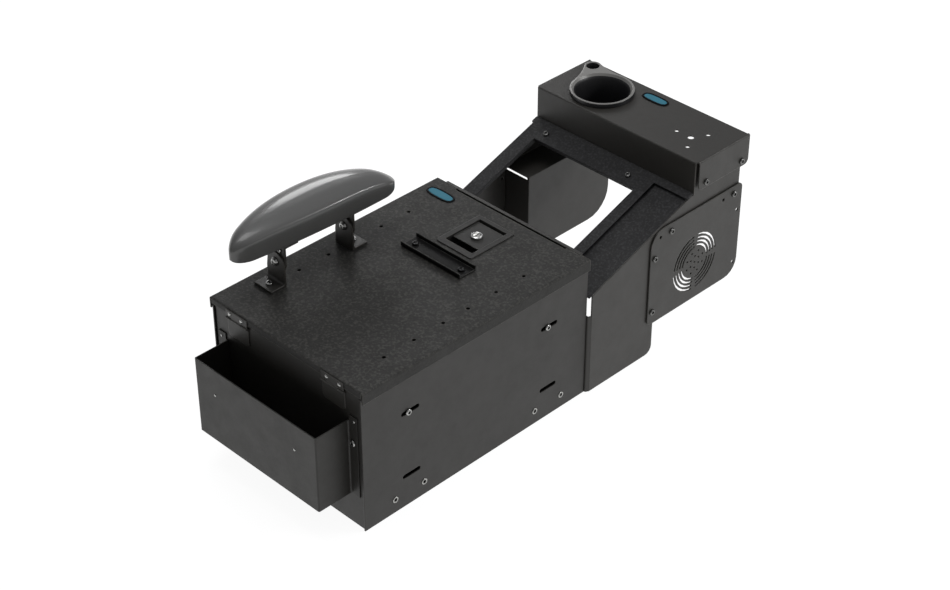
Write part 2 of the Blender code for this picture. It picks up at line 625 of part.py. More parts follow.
def make_slope():
    inner = SIDE_OUT - SHEET - GAP
    window = rectangle(OPENING_LEFT, OPENING_RIGHT, OPENING_LOW, OPENING_HIGH)
    fixings = [(-110.0, 187.0), (46.0, 187.0), (-110.0, 0.0), (46.0, 0.0)]
    holes = [circle(x, s, SCREW_HOLE, 10) for x, s in fixings]
    slope_plate("slope_panel", rectangle(-inner, inner, -7.5, SLOPE_END - 1.5), -SHEET, 0, TEXTURED,
                [window, *holes])
    outline = rounded([(RAIL_LEFT, -5.5, 0), (RAIL_RIGHT, -5.5, 0), (RAIL_RIGHT, 195, 0), (RAIL_EAR, 195, 3),
                       (RAIL_EAR, RAIL_END, 2), (-RAIL_EAR, RAIL_END, 2), (-RAIL_EAR, 195, 3),
                       (RAIL_LEFT, 195, 0)])
    frame = slope_plate("equipment_frame", outline, FRAME_TOP - THIN, FRAME_TOP, TEXTURED, [window, *holes])
    grown = rectangle(OPENING_LEFT - THIN, OPENING_RIGHT + THIN, OPENING_LOW - THIN, OPENING_HIGH + THIN)
    join(frame, slope_plate("frame_rim_helper", grown, GAP, FRAME_TOP - 0.4, TEXTURED, [window]))
    slope_normal = (0, -sin(SLOPE), cos(SLOPE))
    for i, (x, s) in enumerate(fixings[:2]):
        foot = Vector((x, SLOPE_Y + s * cos(SLOPE), SLOPE_Z + s * sin(SLOPE)))
        base = foot + Vector(slope_normal) * FRAME_TOP
        screw(f"frame_screw_{i + 1}", base, slope_normal, DATUM, 8.0)


def cap_corner_trims(side, half, skirt, top):
    """Cutters for one side of the cap: the skirt, a relief at its rear corner and two rounded nibs."""
    x = sorted((side * (half - 3), side * (half + 1)))
    trims = [block(f"cap_skirt_trim{side}", x, (CAP_REAR - 1, CAP_REAR + 5.2), (skirt - 1, top - 3.6),
                   PAINT, DATUM)]
    corner = circle(side * (half - 0.6), CAP_REAR + 1.4, 3.0, 12)
    trims.append(prism(f"cap_relief_trim{side}", corner, top - 5, top + 1, "Z", PAINT, DATUM))
    for y, turn in ((CAP_REAR + 5.2, 1), (CAP_FRONT, -1)):
        turns = [radians(22.5 * i) for i in range(5)]
        arc = [(y + turn * NIB * (1 - sin(a)), skirt + NIB * (1 - cos(a))) for a in turns]
        nib = [(y - turn, skirt - 1), (y + turn * (NIB + 1), skirt - 1), *arc, (y - turn, skirt + NIB)]
        trims.append(prism(f"cap_nib_trim{side}{turn}", nib, *x, "X", PAINT, DATUM))
    return trims


def make_cap():
    skirt, top = CAP_TOP - CAP_SKIRT, CAP_TOP
    half = CAP_HALF
    profile = folded([(half, skirt), (half, top), (-half, top), (-half, skirt)], THIN, 2.2)
    cap = prism("head_cap", profile, CAP_REAR, CAP_FRONT, "Y", PAINT_FINE, DATUM, smooth=35)
    inner = half - 3.3
    rear = folded([(CAP_REAR + 4, top), (CAP_REAR, top), (CAP_REAR, 230.0)], THIN, 2.2)
    front = folded([(CAP_FRONT, top - CAP_LIP), (CAP_FRONT, top), (CAP_FRONT - 4, top)], THIN, 2.2)
    rear_wall = prism("cap_rear_helper", rear, -inner, inner, "X", PAINT_FINE, DATUM)
    front_wall = prism("cap_front_helper", front, -inner, inner, "X", PAINT_FINE, DATUM)
    trims = []
    for end, near, far in (("rear", CAP_REAR - 1, CAP_REAR + 3.9), ("front", CAP_FRONT - 3.9, CAP_FRONT + 1)):
        trims.append(block(f"cap_{end}_trim", (-inner, inner), (near, far), (top - 3, top + 1), PAINT, DATUM))
    for side in (-1, 1):
        trims += cap_corner_trims(side, half, skirt, top)
    cut(cap, *trims)
    join(cap, rear_wall, front_wall)
    cut_cap_holes(cap, half, top)
    for name, side in mirrored_names("cap_screw"):
        for i, (y, z) in enumerate(cap_screw_points()):
            screw(f"{name}_{i + 1}", (side * half, y, z), (side, 0, 0), DATUM, 8.0)


def cut_cap_holes(cap, half, top):
    turns = [radians(60 + 120 * i) for i in range(3)]
    pole = [(POLE_X + POLE_PITCH * cos(a), POLE_Y + POLE_PITCH * sin(a)) for a in turns]
    low, high = top - 5, top + 2
    cut(cap, hole_cutter("cap_pole_cutter", pole, 3.0, low, high, "Z", DATUM),
        hole_cutter("cap_cable_cutter", [(POLE_X, POLE_Y)], 4.6, low, high, "Z", DATUM, 14),
        hole_cutter("cap_cup_cutter", [(CUP_X, CUP_Y)], CUP_BODY + 0.6, low, high, "Z", DATUM, 28),
        hole_cutter("cap_pen_cutter", [(PEN_X, PEN_Y)], PEN_BORE + 2.2, low, high, "Z", DATUM, 16),
        hole_cutter("cap_screw_cutter", cap_screw_points(), SCREW_HOLE, -half - 2, half + 2, "X", DATUM))


def teardrop(grow=0.0, steps=12):
    """The outline round the cup and the pen hole together."""
    big, small = CUP_OUTER + grow, PEN_BORE + 3.4 + grow
    across = Vector((PEN_X - CUP_X, PEN_Y - CUP_Y))
    aim, spread = atan2(across.y, across.x), acos((big - small) / hypot(*across))
    arc = [aim + spread + (2 * pi - 2 * spread) * i / (2 * steps) for i in range(2 * steps + 1)]
    tip = [aim - spread + 2 * spread * i / steps for i in range(steps + 1)]
    return ([(CUP_X + big * cos(a), CUP_Y + big * sin(a)) for a in arc]
            + [(PEN_X + small * cos(a), PEN_Y + small * sin(a)) for a in tip])


def make_cup_holder():
    low = CAP_TOP + GAP
    outside = [(0, CUP_BOTTOM), (CUP_BODY - 5, CUP_BOTTOM), (CUP_BODY - 2, CUP_BOTTOM + 3),
               (CUP_BODY, low + 2), (0, low + 2)]
    inside = [(0, CUP_BOTTOM + 3), (CUP_BODY - 8, CUP_BOTTOM + 3), (CUP_BODY - 5, CUP_BOTTOM + 6),
              (CUP_BODY - 2, low), (CUP_INNER, CUP_RIM - 1), (CUP_INNER, CUP_RIM + 2), (0, CUP_RIM + 2)]
    place, up = (CUP_X, CUP_Y, 0), (0, 0, 1)
    cup = prism("cup_holder", teardrop(), low, CUP_RIM, "Z", PLASTIC, DATUM, smooth=35)
    tube = prism("pen_tube_helper", circle(PEN_X, PEN_Y, PEN_BORE + 1.8, 16), 236, low + 1, "Z", PLASTIC,
                 DATUM)
    join(cup, turned("cup_outside_helper", outside, place, up, PLASTIC, DATUM, 28), tube)
    cut(cup, turned("cup_inside_cutter", inside, place, up, PLASTIC, DATUM, 28),
        hole_cutter("pen_bore_cutter", [(PEN_X, PEN_Y)], PEN_BORE, 230, CUP_RIM + 2, "Z", DATUM, 16))


def fan_slots():
    """The vent, as outlines in (y, z): four rings of arc slots in four quadrants, and hub holes."""
    outlines = []
    half_width, span = 1.5, radians(76)
    for ring in range(4):
        middle = 26.6 + 5.8 * ring
        for quadrant in range(4):
            first = radians(7) + quadrant * pi / 2
            arc = [first + span * i / 6 for i in range(7)]
            outer = [(middle + half_width, a) for a in arc]
            inner = [(middle - half_width, a) for a in reversed(arc)]
            ends = [(middle, first + span + half_width / middle)], [(middle, first - half_width / middle)]
            loop = outer + ends[0] + inner + ends[1]
            outlines.append([(PLATE_CENTRE_Y + r * cos(a), FAN_Z + r * sin(a)) for r, a in loop])
    for count, radius in ((8, 17.6), (6, 9.6), (1, 0.0)):
        for i in range(count):
            angle = 2 * pi * (i + 0.5) / count
            outlines.append(circle(PLATE_CENTRE_Y + radius * cos(angle), FAN_Z + radius * sin(angle), 1.9, 8))
    return outlines


def make_cover_plate():
    outline = rounded([(PLATE_REAR, PLATE_LOW, 8), (PLATE_FRONT, PLATE_LOW, 25), (PLATE_FRONT, PLATE_TOP, 8),
                       (PLATE_REAR, PLATE_TOP, 25)], 5)
    holes = [circle(y, z, SCREW_HOLE, 10) for y, z in plate_screw_points()]
    low = SIDE_OUT + GAP
    prism("vent_plate_right", outline, low, low + PLATE_SHEET, "X", PAINT_FINE, DATUM, holes + fan_slots())
    for i, (y, z) in enumerate(visible_plate_screws()):
        screw(f"vent_plate_screw_{i + 1}", (low + PLATE_SHEET, y, z), (1, 0, 0), DATUM, 6.0)


def visible_plate_screws():
    return [(PLATE_CENTRE_Y + 77.7, 191.9), (PLATE_CENTRE_Y - 55.1, 191.9), (PLATE_CENTRE_Y - 87.7, 161.4),
            (PLATE_CENTRE_Y - 87.7, 72.7)]


def make_left_recess():
    """The left wall in front: it steps inboard, with a ledge above and a flange outside the left side."""
    out, wall_y, front, lip = -SIDE_OUT - GAP - THIN, STEP_Y + 0.5, 712.0, RECESS_TOP - THIN
    flange = rounded([(PLATE_REAR, PLATE_LOW, 8), (wall_y + THIN, PLATE_LOW, 0), (wall_y + THIN, lip, 0),
                      (PLATE_FRONT, lip, 0), (PLATE_FRONT, PLATE_TOP, 8), (PLATE_REAR, PLATE_TOP, 25)], 5)
    holes = [circle(y, z, SCREW_HOLE, 10) for y, z in plate_screw_points() if z > STEP_Z or y < STEP_Y]
    panel = prism("left_recess_panel", flange, out, out + THIN, "X", PAINT_FINE, DATUM, holes)
    wall = block("recess_wall_helper", (out + 0.4, RECESS_X), (wall_y, wall_y + THIN),
                 (RECESS_LOW, RECESS_TOP), PAINT, DATUM)
    side = rounded([(wall_y + 0.4, RECESS_LOW, 0), (front, RECESS_LOW, 42), (front, RECESS_TOP, 0),
                    (wall_y + 0.4, RECESS_TOP, 0)], 6)
    face = prism("recess_face_helper", side, RECESS_X - THIN, RECESS_X, "X", PAINT, DATUM)
    ledge = block("recess_ledge_helper", (out + 0.4, RECESS_X - 0.4), (wall_y + 0.4, front),
                  (lip, RECESS_TOP - 0.01), PAINT, DATUM)
    join(panel, wall, face, ledge)
    slot = prism("recess_slot_trim", slot_outline(-120.5, lip - 2.4, 43.0, 4.4), 530, 545, "Y", PAINT, DATUM)
    cut(panel, slot)


# ---------------------------------------------------------------- trim


def make_labels():
    """Two plain oval plates, one on the lid and one on the head."""
    for name, x, y, base, parent in (("lid_badge", -107.9, 376.0, LID_TOP, LID),
                                     ("head_badge", -4.0, 699.5, CAP_TOP, DATUM)):
        turns = [2 * pi * i / 24 for i in range(24)]
        oval = [(x + BADGE_HALF_X * cos(a), y + BADGE_HALF_Y * sin(a)) for a in turns]
        prism(name, oval, base + GAP, base + GAP + 0.8, "Z", BADGE, parent, smooth=35)


def make_side_screws():
    half = BOX_WIDTH / 2
    for name, side in mirrored_names("side_screw"):
        for i, y in enumerate((77.4, 328.6)):
            screw(f"{name}_{i + 1}", (side * half, y, 148.6), (side, 0, 0), DATUM)


clear_scene()
PAINT = finish_of("box_powder_coat", (0.022, 0.022, 0.020), 0.45, 0.0)
PAINT_FINE = finish_of("smooth_powder_coat", (0.024, 0.024, 0.022), 0.38, 0.0)
TEXTURED = finish_of("textured_powder_coat", (0.018, 0.018, 0.018), 0.55, 0.0)
PLASTIC = finish_of("moulded_plastic", (0.012, 0.012, 0.013), 0.35, 0.0)
PAD_SKIN = finish_of("pad_skin", (0.035, 0.036, 0.038), 0.32, 0.0)
ZINC = finish_of("zinc", (0.62, 0.62, 0.60), 0.25, 1.0)
BADGE = finish_of("badge_blue", (0.02, 0.10, 0.16), 0.3, 0.0)

DATUM = axis_empty("console_datum", (0, 0, 0))
LID = axis_empty("lid_axis", (0, HINGE_Y, HINGE_Z), DATUM)
PADDLE = axis_empty("paddle_axis", (0, PADDLE_AXIS_Y, PADDLE_AXIS_Z), LID)
KEY = axis_empty("key_axis", (0, KEY_Y, 220), PADDLE)
BOLT = axis_empty("bolt_axis", (0, 374, 197), LID)
ARM = axis_empty("armrest_axis", (ARM_X, ARM_CENTRE_Y, ARM_Z), LID)

make_box()
make_bin()
make_lid()
for leaf_name, leaf_side in (("left", -1), ("right", 1)):
    make_hinge(leaf_name, leaf_side)
make_pull_channel()
make_latch()
make_armrest_bracket("rear", 81.0, 58.0, 84.0, 69.0)
make_armrest_bracket("front", 198.5, 198.5, 224.0, 214.1)
make_pad()
make_front_sides()
make_slope()
make_cap()
make_cup_holder()
make_cover_plate()
make_left_recess()
make_labels()
make_side_screws()
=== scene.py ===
"""The looks of the vehicle equipment console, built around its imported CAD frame.
Lengths here are millimetres in the storage box's own frame: x from its centre line, y forward from its
rear edge, z up from the floor. world() turns them into the row frame, in metres."""

from math import acos, atan2, copysign, cos, hypot, pi, radians, sin, sqrt

import bmesh
import bpy
from mathutils import Matrix, Vector

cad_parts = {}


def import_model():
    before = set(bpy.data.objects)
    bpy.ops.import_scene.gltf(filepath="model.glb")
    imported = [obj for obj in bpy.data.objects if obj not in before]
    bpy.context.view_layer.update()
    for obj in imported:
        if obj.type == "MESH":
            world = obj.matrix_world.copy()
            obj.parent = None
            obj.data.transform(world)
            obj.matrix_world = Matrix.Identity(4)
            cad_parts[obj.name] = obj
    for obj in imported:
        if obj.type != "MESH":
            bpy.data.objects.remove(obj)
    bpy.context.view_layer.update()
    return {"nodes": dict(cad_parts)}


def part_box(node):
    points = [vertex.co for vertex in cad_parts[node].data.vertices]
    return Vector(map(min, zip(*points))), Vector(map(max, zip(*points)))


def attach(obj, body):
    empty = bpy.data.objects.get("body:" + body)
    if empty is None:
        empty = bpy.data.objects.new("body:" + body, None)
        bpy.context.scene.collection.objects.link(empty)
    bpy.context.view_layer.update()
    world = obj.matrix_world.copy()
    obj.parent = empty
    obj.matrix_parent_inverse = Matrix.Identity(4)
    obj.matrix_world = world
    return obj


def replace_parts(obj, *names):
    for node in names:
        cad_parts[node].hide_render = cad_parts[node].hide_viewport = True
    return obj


MM = 0.001
UP = Vector((0, 0, 1))
SLOPE = radians(19.2)

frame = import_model()
NODES = frame["nodes"]
side_low, side_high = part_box("box_side_right")
BOX_REAR = Vector(((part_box("box_side_left")[0].x + side_high.x) / 2, side_low.y, 0))


def world(x, y, z):
    return BOX_REAR + Vector((x, y, z)) * MM


# ---------------------------------------------------------------- materials


class Nodes:
    """A material under construction: add() makes a node and wires sockets by name or value."""

    def __init__(self, name):
        self.material = bpy.data.materials.new(name)
        self.material.use_nodes = True
        self.tree = self.material.node_tree
        self.shader = self.tree.nodes["Principled BSDF"]

    def add(self, kind, links=None, **settings):
        node = self.tree.nodes.new("ShaderNode" + kind)
        for key, value in settings.items():
            setattr(node, key, value)
        for key, value in (links or {}).items():
            self.wire(node, key, value)
        return node

    def wire(self, node, key, value):
        self.feed(node.inputs[key], value)

    def feed(self, socket, value):
        if isinstance(value, bpy.types.NodeSocket):
            self.tree.links.new(value, socket)
        else:
            socket.default_value = value

    def place(self):
        return self.add("TexCoord").outputs["Object"]

    def noise(self, scale, detail=3.0, rough=0.55):
        links = {"Vector": self.place(), "Scale": scale, "Detail": detail, "Roughness": rough}
        return self.add("TexNoise", links).outputs["Fac"]

    def spread(self, value, low, high, start=0.3, end=0.7):
        links = {"Value": value, "From Min": start, "From Max": end, "To Min": low, "To Max": high}
        return self.add("MapRange", links).outputs["Result"]

    def mix(self, factor, first, second):
        node = self.add("Mix", data_type="RGBA")
        for socket, value in zip([s for s in node.inputs if s.enabled], (factor, first, second)):
            self.feed(socket, value)
        return [s for s in node.outputs if s.enabled][0]

    def product(self, first, second):
        return self.add("Math", {0: first, 1: second}, operation="MULTIPLY").outputs[0]

    def edges(self, radius=0.0007):
        """(rounded normal, a mask that is 1 on sharp edges)."""
        soft = self.add("Bevel", {"Radius": radius}, samples=6).outputs["Normal"]
        flat = self.add("NewGeometry").outputs["Normal"]
        dot = self.add("VectorMath", operation="DOT_PRODUCT")
        self.tree.links.new(soft, dot.inputs[0])
        self.tree.links.new(flat, dot.inputs[1])
        return soft, self.spread(dot.outputs["Value"], 1.0, 0.0, 0.86, 0.995)


def rgba(colour, gain=1.0):
    return (*(min(1.0, c * gain) for c in colour), 1.0)


def coat(name, colour, roughness, grain, depth, mottle, speck=0.0, edge_lightening=0.35, shine=0.5, bend=0.0007,
         glint=3.2):
    """Powder coat: orange peel of size grain and height depth, uneven tone, smears and lighter edges, partly
    rubbed paint and partly a painted highlight along the rounded bends.

    speck adds pale specks to the grain, shown more on faces that look up, bend is how wide an edge is rounded
    and lightened, and glint is how much lighter that edge is painted, as rubbed paint and as a painted
    highlight."""
    n = Nodes(name)
    normal, edge = n.edges(bend)
    peel = n.noise(grain, 4.0, 0.6)
    broad = n.noise(14.0, 3.0)
    tone = n.mix(n.spread(peel, 0.0, 1.0), rgba(colour, 1 - mottle), rgba(colour, 1 + mottle))
    tone = n.mix(n.spread(broad, 0.0, 0.35), tone, rgba(colour, 1.25))
    if speck:
        # Pale specks in the grain, shown more strongly on faces that look up.
        pale_specks = n.spread(n.noise(grain * 0.9, 2.0, 0.5), 0.0, speck, 0.48, 0.66)
        level = n.add("SeparateXYZ", {0: n.add("TexCoord").outputs["Normal"]}).outputs["Z"]
        shown = n.product(pale_specks, n.spread(level, 0.15, 1.0, 0.2, 0.7))
        tone = n.mix(shown, tone, rgba(colour, 3.4))
    # Rounded edges lightened in patches: partly rubbed paint, partly a painted highlight along the bends.
    edge_rub_and_painted_highlight = n.product(edge, n.spread(n.noise(60.0, 2.0), 0.15, 1.0))
    tone = n.mix(n.product(edge_rub_and_painted_highlight, edge_lightening), tone, rgba(colour, glint))
    n.wire(n.shader, "Base Color", tone)
    smear = n.spread(n.noise(38.0, 5.0, 0.7), roughness - 0.05, roughness + 0.06)
    n.wire(n.shader, "Roughness", smear)
    bump = n.add("Bump", {"Strength": 0.75, "Distance": depth, "Height": peel, "Normal": normal})
    n.wire(n.shader, "Normal", bump.outputs["Normal"])
    n.shader.inputs["Specular IOR Level"].default_value = shine
    return n.material


def metal(name, colour, roughness):
    """Bright plating with faint tarnish, uneven polish and softened edges."""
    n = Nodes(name)
    normal, _ = n.edges(0.0004)
    tarnish = n.noise(420.0, 4.0)
    n.wire(n.shader, "Base Color", n.mix(n.spread(tarnish, 0.0, 0.55), rgba(colour), rgba(colour, 0.62)))
    n.wire(n.shader, "Roughness", n.spread(n.noise(900.0, 3.0), roughness - 0.06, roughness + 0.12))
    n.shader.inputs["Metallic"].default_value = 1.0
    bump = n.add("Bump", {"Strength": 0.25, "Distance": 0.00004, "Height": tarnish, "Normal": normal})
    n.wire(n.shader, "Normal", bump.outputs["Normal"])
    return n.material


def moulded(name, colour, roughness, grain, depth, gloss=0.0, edge_lightening=0.25):
    """Moulded plastic or skin: fine grain, uneven gloss, faint scuffs."""
    n = Nodes(name)
    normal, edge = n.edges(0.0008)
    fine = n.noise(grain, 4.0, 0.6)
    broad = n.noise(22.0, 4.0)
    tone = n.mix(n.spread(broad, 0.0, 0.5), rgba(colour, 0.94), rgba(colour, 1.1))
    tone = n.mix(n.spread(edge, 0.0, edge_lightening, 0.0, 1.0), tone, rgba(colour, 1.9))
    n.wire(n.shader, "Base Color", tone)
    scuff = n.noise(75.0, 6.0, 0.72)
    n.wire(n.shader, "Roughness", n.spread(scuff, roughness - 0.025, roughness + 0.035))
    bump = n.add("Bump", {"Strength": 0.5, "Distance": depth, "Height": fine, "Normal": normal})
    n.wire(n.shader, "Normal", bump.outputs["Normal"])
    n.shader.inputs["Coat Weight"].default_value = gloss
    n.shader.inputs["Coat Roughness"].default_value = 0.12
    return n.material


# The last settings of each coat below set how strongly its rounded edges are lightened: partly rubbed paint,
# partly a painted highlight along the bends.
# colour, roughness, grain and its height in metres, mottle, speck
BOX_COAT = coat("satin_coat", (0.0148, 0.0139, 0.0121), 0.46, 900.0, 0.00006, 0.05, shine=0.42,
                bend=0.0012)
FINE_COAT = coat("smooth_coat", (0.0205, 0.0193, 0.0168), 0.46, 1000.0, 0.00005, 0.05, edge_lightening=0.8,
                 shine=0.45, bend=0.0020, glint=4.0)
BIN_COAT = coat("bin_coat", (0.0138, 0.0130, 0.0110), 0.48, 1000.0, 0.00005, 0.05, edge_lightening=0.0, shine=0.38)
LATCH_COAT = coat("latch_coat", (0.0140, 0.0136, 0.0124), 0.58, 900.0, 0.00005, 0.06, edge_lightening=1.0,
                  shine=0.4, bend=0.0018, glint=6.0)
# The pull channel's coat is darkened far below the lid's as painted shade inside the channel, and its edges
# carry a strong painted highlight.
SHADED_CHANNEL_COAT = coat("channel_coat_painted_shade", (0.0012, 0.0012, 0.0011), 0.55, 900.0, 0.00005, 0.06, edge_lightening=1.0,
                    shine=0.15, bend=0.0018, glint=90.0)
LID_COAT = coat("textured_coat", (0.0110, 0.0107, 0.0095), 0.64, 330.0, 0.00030, 0.35, 0.9, edge_lightening=1.0,
                shine=0.38, bend=0.0022, glint=8.0)
# A darker copy of the lid's textured coat for the tilted slope panel and equipment frame: painted shade.
SHADED_SLOPE_COAT = coat("textured_coat_slope_painted_shade", (0.0082, 0.0082, 0.0088), 0.64, 330.0, 0.00030, 0.35, 0.8,
                  edge_lightening=0.8, shine=0.33, bend=0.0016, glint=7.0)
ZINC = metal("bright_zinc", (0.42, 0.42, 0.41), 0.20)
DIM_ZINC = metal("dim_zinc", (0.17, 0.17, 0.165), 0.22)
CHROME = metal("bright_chrome", (0.78, 0.78, 0.77), 0.12)
DULL_ZINC = metal("dull_zinc", (0.50, 0.50, 0.48), 0.30)
# A near-black metal for the screws in the pull channel: painted shade of the channel's recess.
SHADED_STEEL = metal("steel_painted_shade", (0.035, 0.035, 0.036), 0.30)
# Two copies of the cup holder's black plastic: the first darkened further as painted shade inside the cup, the
# second much lighter as a painted highlight on the lip's top.
SHADED_PLASTIC = moulded("cup_plastic_painted_shade", (0.0075, 0.0075, 0.0085), 0.42, 1600.0, 0.00002)
LIT_LIP = moulded("cup_lip_painted_highlight", (0.185, 0.182, 0.174), 0.36, 1600.0, 0.00002)
PAD = moulded("pad_skin", (0.064, 0.064, 0.062), 0.34, 5000.0, 0.000002, 0.40)
BADGE_RIM = moulded("badge_rim", (0.002, 0.003, 0.004), 0.45, 1500.0, 0.00001)
BADGE_FIELD = moulded("badge_field", (0.034, 0.165, 0.230), 0.55, 1500.0, 0.00001, 0.0, 0.0)
for duller, level in ((BADGE_RIM, 0.05), (BADGE_FIELD, 0.15)):
    duller.node_tree.nodes["Principled BSDF"].inputs["Specular IOR Level"].default_value = level
# A near-black finish, not metal, for the inside of the screws' hex sockets: painted shade in the recess.
SOCKET_SHADE = moulded("drive_recess_painted_shade", (0.006, 0.006, 0.006), 0.5, 900.0, 0.00002)


# ---------------------------------------------------------------- mesh building


HEAD_SIDES = 30


def mesh_from(name, bm):
    bmesh.ops.remove_doubles(bm, verts=bm.verts, dist=1e-7)
    bmesh.ops.recalc_face_normals(bm, faces=bm.faces)
    mesh = bpy.data.meshes.new(name)
    bm.to_mesh(mesh)
    bm.free()
    return mesh


def finished(name, bm, material, body, smooth=40.0, matrix=None):
    """Makes a piece from a bmesh in row-frame metres, or in local ones with a matrix."""
    mesh = mesh_from(name, bm)
    mesh.materials.append(material)
    return placed(name, mesh, body, smooth, matrix)


def placed(name, mesh, body, smooth=40.0, matrix=None):
    """Gives a mesh to a body as a piece, with edges sharper than smooth degrees kept sharp."""
    mesh.shade_smooth()
    mesh.set_sharp_from_angle(angle=radians(smooth))
    piece = bpy.data.objects.new(name, mesh)
    bpy.context.scene.collection.objects.link(piece)
    if matrix is not None:
        piece.matrix_world = matrix
    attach(piece, body)
    return piece


def grid(bm, rings):
    """Joins closed rings of points with quads; a ring of one point is a pole."""
    made = [[bm.verts.new(p) for p in ring] for ring in rings]
    for low, high in zip(made, made[1:]):
        count = max(len(low), len(high))
        for i in range(count):
            j = (i + 1) % count
            corners = [low[i % len(low)], low[j % len(low)], high[j % len(high)], high[i % len(high)]]
            bm.faces.new(list(dict.fromkeys(corners)))
    return made


def lathe(profile, sides):
    """Rings in metres for grid(): a profile of (radius, height) in millimetres turned about local Z."""
    rings = []
    for radius, height in profile:
        count = 1 if radius == 0 else sides
        turns = (2 * pi * i / sides for i in range(count))
        rings.append([(radius * MM * cos(a), radius * MM * sin(a), height * MM) for a in turns])
    return rings


def screw_head_mesh(name, metal_finish, radius=4.6, height=2.6, socket=2.5, deep=1.5):
    """A button head with a hexagonal socket, whose underside is at local z = 0."""
    mouth, chamfer, steps = socket + 0.35, 0.25, 6
    rise = 3 * chamfer
    dome = [(0, 0), (radius - chamfer, 0), (radius, chamfer), (radius, rise)]
    for i in range(1, steps + 1):
        climb = radians(90 / steps * i)
        turn = climb * (acos(mouth / radius) / radians(90))
        dome.append((radius * cos(turn), rise + (height - rise) * sin(climb)))
    bm = bmesh.new()
    grid(bm, lathe(dome, HEAD_SIDES))
    top, hexagon = [], []
    for i in range(HEAD_SIDES):
        angle = 2 * pi * i / HEAD_SIDES
        top.append((mouth * MM * cos(angle), mouth * MM * sin(angle), height * MM))
        within = (angle % (pi / 3)) - pi / 6
        reach = socket * cos(pi / 6) / cos(within) * MM
        hexagon.append((reach * cos(angle), reach * sin(angle)))
    rim = [(x, y, (height - 0.12) * MM) for x, y in hexagon]
    low = [(x, y, (height - deep) * MM) for x, y in hexagon]
    grid(bm, [top, rim, low, [(0, 0, (height - deep - 0.25) * MM)]])
    mesh = mesh_from(name, bm)
    mesh.materials.append(metal_finish)
    mesh.materials.append(SOCKET_SHADE)
    # Faces inside the hex socket take the near-black finish as painted shade.
    for face in mesh.polygons:
        middle = face.center
        inside = hypot(middle.x, middle.y) < socket * MM * 0.98
        if inside and 0.2 * MM < middle.z < (height - 0.5) * MM:
            face.material_index = 1
    return mesh


def facing(place, direction, spin=0.0):
    turn = UP.rotation_difference(Vector(direction)).to_matrix().to_4x4()
    return Matrix.Translation(place) @ turn @ Matrix.Rotation(spin, 4, "Z")


def screw_for(node, direction, mesh, body, height=2.6, spin=0.0):
    """A detailed head in place of a CAD screw, whose axis ends at its outermost point."""
    direction = Vector(direction).normalized()
    tip = max((v.co for v in NODES[node].data.vertices), key=lambda co: co.dot(direction))
    seat = facing(tip - direction * height * MM, direction, spin)
    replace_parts(placed(f"{node}_head", mesh, body, 35.0, seat), node)


def disc(name, place, direction, profile, material, body, sides=32):
    """A turned piece whose axis points in direction."""
    bm = bmesh.new()
    grid(bm, lathe(profile, sides))
    return finished(name, bm, material, body, 35.0, facing(place, direction))


# ---------------------------------------------------------------- camera, floor, light


FLOOR_REACH, FLOOR_Z = 12.0, -0.0004


def set_stage():
    camera = bpy.data.objects.new("camera", bpy.data.cameras.new("camera"))
    bpy.context.scene.collection.objects.link(camera)
    camera.data.lens = 79.19
    camera.data.sensor_width = 36.0
    camera.data.clip_end = 50.0
    camera.location = world(1633.8, -1299.1, 1760.8)
    camera.rotation_euler = (radians(54.736), 0, radians(45))
    bpy.context.scene.camera = camera

    n = Nodes("pale_floor")
    tone = n.mix(n.spread(n.noise(3.0, 2.0), 0.0, 1.0), (0.16, 0.16, 0.16, 1), (0.18, 0.18, 0.18, 1))
    n.wire(n.shader, "Base Color", tone)
    n.shader.inputs["Roughness"].default_value = 0.9
    n.shader.inputs["Specular IOR Level"].default_value = 0.0
    n.shader.inputs["Emission Color"].default_value = (1, 1, 1, 1)
    n.shader.inputs["Emission Strength"].default_value = 0.93
    mesh = bpy.data.meshes.new("floor")
    corners = [(x * FLOOR_REACH, y * FLOOR_REACH, FLOOR_Z) for x, y in ((-1, -1), (1, -1), (1, 1), (-1, 1))]
    mesh.from_pydata(corners, [], [(0, 1, 2, 3)])
    mesh.materials.append(n.material)
    floor = bpy.data.objects.new("floor", mesh)
    bpy.context.scene.collection.objects.link(floor)


def softbox(name, direction, distance, size, power):
    """An area light aimed at the middle of the object."""
    data = bpy.data.lights.new(name, "AREA")
    data.shape = "RECTANGLE"
    data.size, data.size_y = size
    data.energy = power
    lamp = bpy.data.objects.new(name, data)
    bpy.context.scene.collection.objects.link(lamp)
    aim = Vector((0, 0, 0.15))
    lamp.location = aim + Vector(direction).normalized() * distance
    lamp.rotation_euler = (aim - lamp.location).to_track_quat("-Z", "Y").to_euler()


